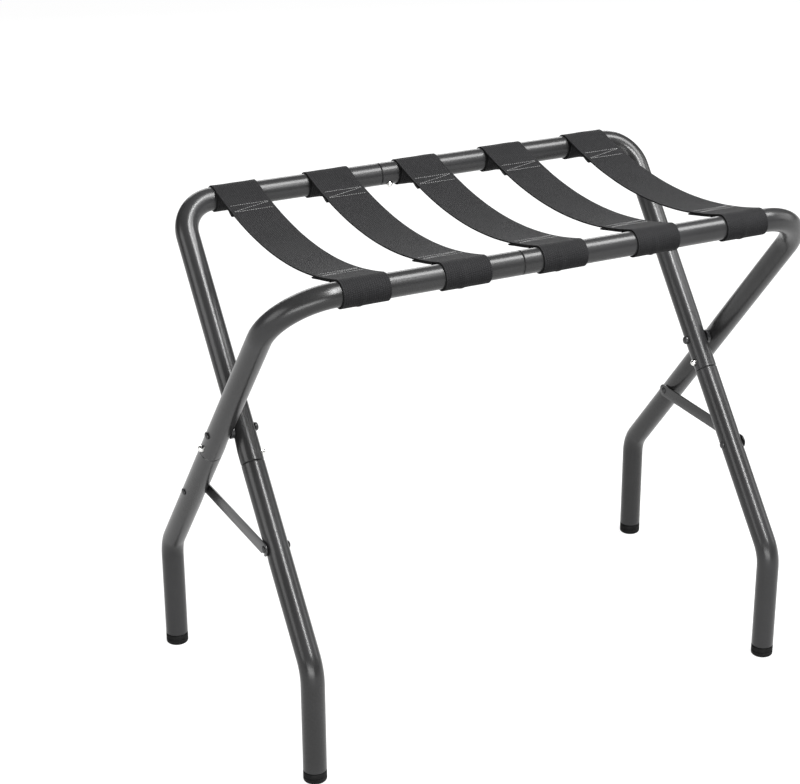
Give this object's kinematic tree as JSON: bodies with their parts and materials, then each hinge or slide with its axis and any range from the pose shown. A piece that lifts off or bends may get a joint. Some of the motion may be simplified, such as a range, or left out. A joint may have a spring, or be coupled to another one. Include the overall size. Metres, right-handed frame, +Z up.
{
  "type": "folding luggage rack",
  "caption": "Folding luggage rack: two crossed tube frames hinged at the legs, webbing straps between the rails, hooked brace bars below.",
  "frame": {"origin": "On the floor, under the middle of the open rack.", "axes": "+X along the rails to the right as seen from the outer frame's rail, +Y from the outer frame's rail to the inner frame's rail, +Z up."},
  "size_m": [0.6512, 0.3592, 0.5443],
  "materials": {
    "powder_coat": "satin black powder coat",
    "zinc": "bright zinc plate",
    "spring_steel": "plain spring steel",
    "black_oxide": "semi-gloss black",
    "rubber": "matte moulded rubber",
    "webbing": "ribbed woven webbing"
  },
  "bodies": {
    "outer_frame": {"outer_upper_tube_left": "powder_coat", "outer_lower_leg_left": "powder_coat", "outer_foot_plug_left": "rubber", "outer_upper_tube_right": "powder_coat", "outer_lower_leg_right": "powder_coat", "outer_foot_plug_right": "rubber", "outer_snap_spring_rail": "spring_steel", "outer_snap_spring_left": "spring_steel", "outer_snap_spring_right": "spring_steel", "pivot_bolt_left": "black_oxide", "pivot_nut_left": "black_oxide", "pivot_washer_left": "black_oxide", "link_rivet_left": "black_oxide", "pivot_bolt_right": "black_oxide", "pivot_nut_right": "black_oxide", "pivot_washer_right": "black_oxide", "link_rivet_right": "black_oxide"},
    "inner_frame": {"inner_upper_tube_left": "powder_coat", "inner_lower_leg_left": "powder_coat", "inner_foot_plug_left": "rubber", "inner_upper_tube_right": "powder_coat", "inner_lower_leg_right": "powder_coat", "inner_foot_plug_right": "rubber", "inner_snap_spring_rail": "spring_steel", "inner_snap_spring_left": "spring_steel", "inner_snap_spring_right": "spring_steel", "link_stud_left": "black_oxide", "link_stud_right": "black_oxide"},
    "straps_front": {"strap_1_front_half": "webbing", "strap_2_front_half": "webbing", "strap_3_front_half": "webbing", "strap_4_front_half": "webbing", "strap_5_front_half": "webbing"},
    "straps_back": {"strap_1_back_half": "webbing", "strap_2_back_half": "webbing", "strap_3_back_half": "webbing", "strap_4_back_half": "webbing", "strap_5_back_half": "webbing"},
    "link_left": {"link_bar_left": "powder_coat"},
    "link_right": {"link_bar_right": "powder_coat"},
    "button_outer_rail": {"outer_snap_button_rail": "zinc"},
    "button_outer_left": {"outer_snap_button_left": "zinc"},
    "button_outer_right": {"outer_snap_button_right": "zinc"},
    "button_inner_rail": {"inner_snap_button_rail": "zinc"},
    "button_inner_left": {"inner_snap_button_left": "zinc"},
    "button_inner_right": {"inner_snap_button_right": "zinc"}
  },
  "joints": [
    {"name": "fold", "type": "hinge", "parent": "outer_frame", "child": "inner_frame", "pos_m": [0, 0, 0.332], "axis": [1, 0, 0], "range_deg": [0, 72], "deforming": ["strap_1_front_half", "strap_2_front_half", "strap_3_front_half", "strap_4_front_half", "strap_5_front_half", "strap_1_back_half", "strap_2_back_half", "strap_3_back_half", "strap_4_back_half", "strap_5_back_half"]},
    {"name": "straps_front_turn", "type": "hinge", "parent": "outer_frame", "child": "straps_front", "pos_m": [0, -0.163, 0.53], "axis": [-1, 0, 0], "range_deg": [0, 44.9], "deforming": ["strap_1_front_half", "strap_2_front_half", "strap_3_front_half", "strap_4_front_half", "strap_5_front_half"]},
    {"name": "straps_back_turn", "type": "hinge", "parent": "inner_frame", "child": "straps_back", "pos_m": [0, 0.163, 0.53], "axis": [1, 0, 0], "range_deg": [0, 44.9], "deforming": ["strap_1_back_half", "strap_2_back_half", "strap_3_back_half", "strap_4_back_half", "strap_5_back_half"]},
    {"name": "link_left_lift", "type": "hinge", "parent": "outer_frame", "child": "link_left", "pos_m": [-0.295, 0.08231, 0.23202], "axis": [-1, 0, 0], "range_deg": [0, 43.5]},
    {"name": "link_right_lift", "type": "hinge", "parent": "outer_frame", "child": "link_right", "pos_m": [0.295, 0.08231, 0.23202], "axis": [-1, 0, 0], "range_deg": [0, 43.5]},
    {"name": "outer_rail_button_press", "type": "slide", "parent": "outer_frame", "child": "button_outer_rail", "axis": [0, -0.6356, 0.772], "range_m": [0, 0.0045], "stiffness_N_per_m": 600, "deforming": ["outer_snap_spring_rail"]},
    {"name": "outer_left_button_press", "type": "slide", "parent": "outer_frame", "child": "button_outer_left", "axis": [1, 0, 0], "range_m": [0, 0.0045], "stiffness_N_per_m": 600, "deforming": ["outer_snap_spring_left"]},
    {"name": "outer_right_button_press", "type": "slide", "parent": "outer_frame", "child": "button_outer_right", "axis": [-1, 0, 0], "range_m": [0, 0.0045], "stiffness_N_per_m": 600, "deforming": ["outer_snap_spring_right"]},
    {"name": "inner_rail_button_press", "type": "slide", "parent": "inner_frame", "child": "button_inner_rail", "axis": [0, 0.6356, 0.772], "range_m": [0, 0.0045], "stiffness_N_per_m": 600, "deforming": ["inner_snap_spring_rail"]},
    {"name": "inner_left_button_press", "type": "slide", "parent": "inner_frame", "child": "button_inner_left", "axis": [-1, 0, 0], "range_m": [0, 0.0045], "stiffness_N_per_m": 600, "deforming": ["inner_snap_spring_left"]},
    {"name": "inner_right_button_press", "type": "slide", "parent": "inner_frame", "child": "button_inner_right", "axis": [1, 0, 0], "range_m": [0, 0.0045], "stiffness_N_per_m": 600, "deforming": ["inner_snap_spring_right"]}
  ],
  "couplings": [
    {"joint": "straps_front_turn", "follows": "fold", "ratio": 0.623},
    {"joint": "straps_back_turn", "follows": "fold", "ratio": 0.623},
    {"joint": "link_left_lift", "follows": "fold", "ratio": 0.604},
    {"joint": "link_right_lift", "follows": "fold", "ratio": 0.604}
  ]
}
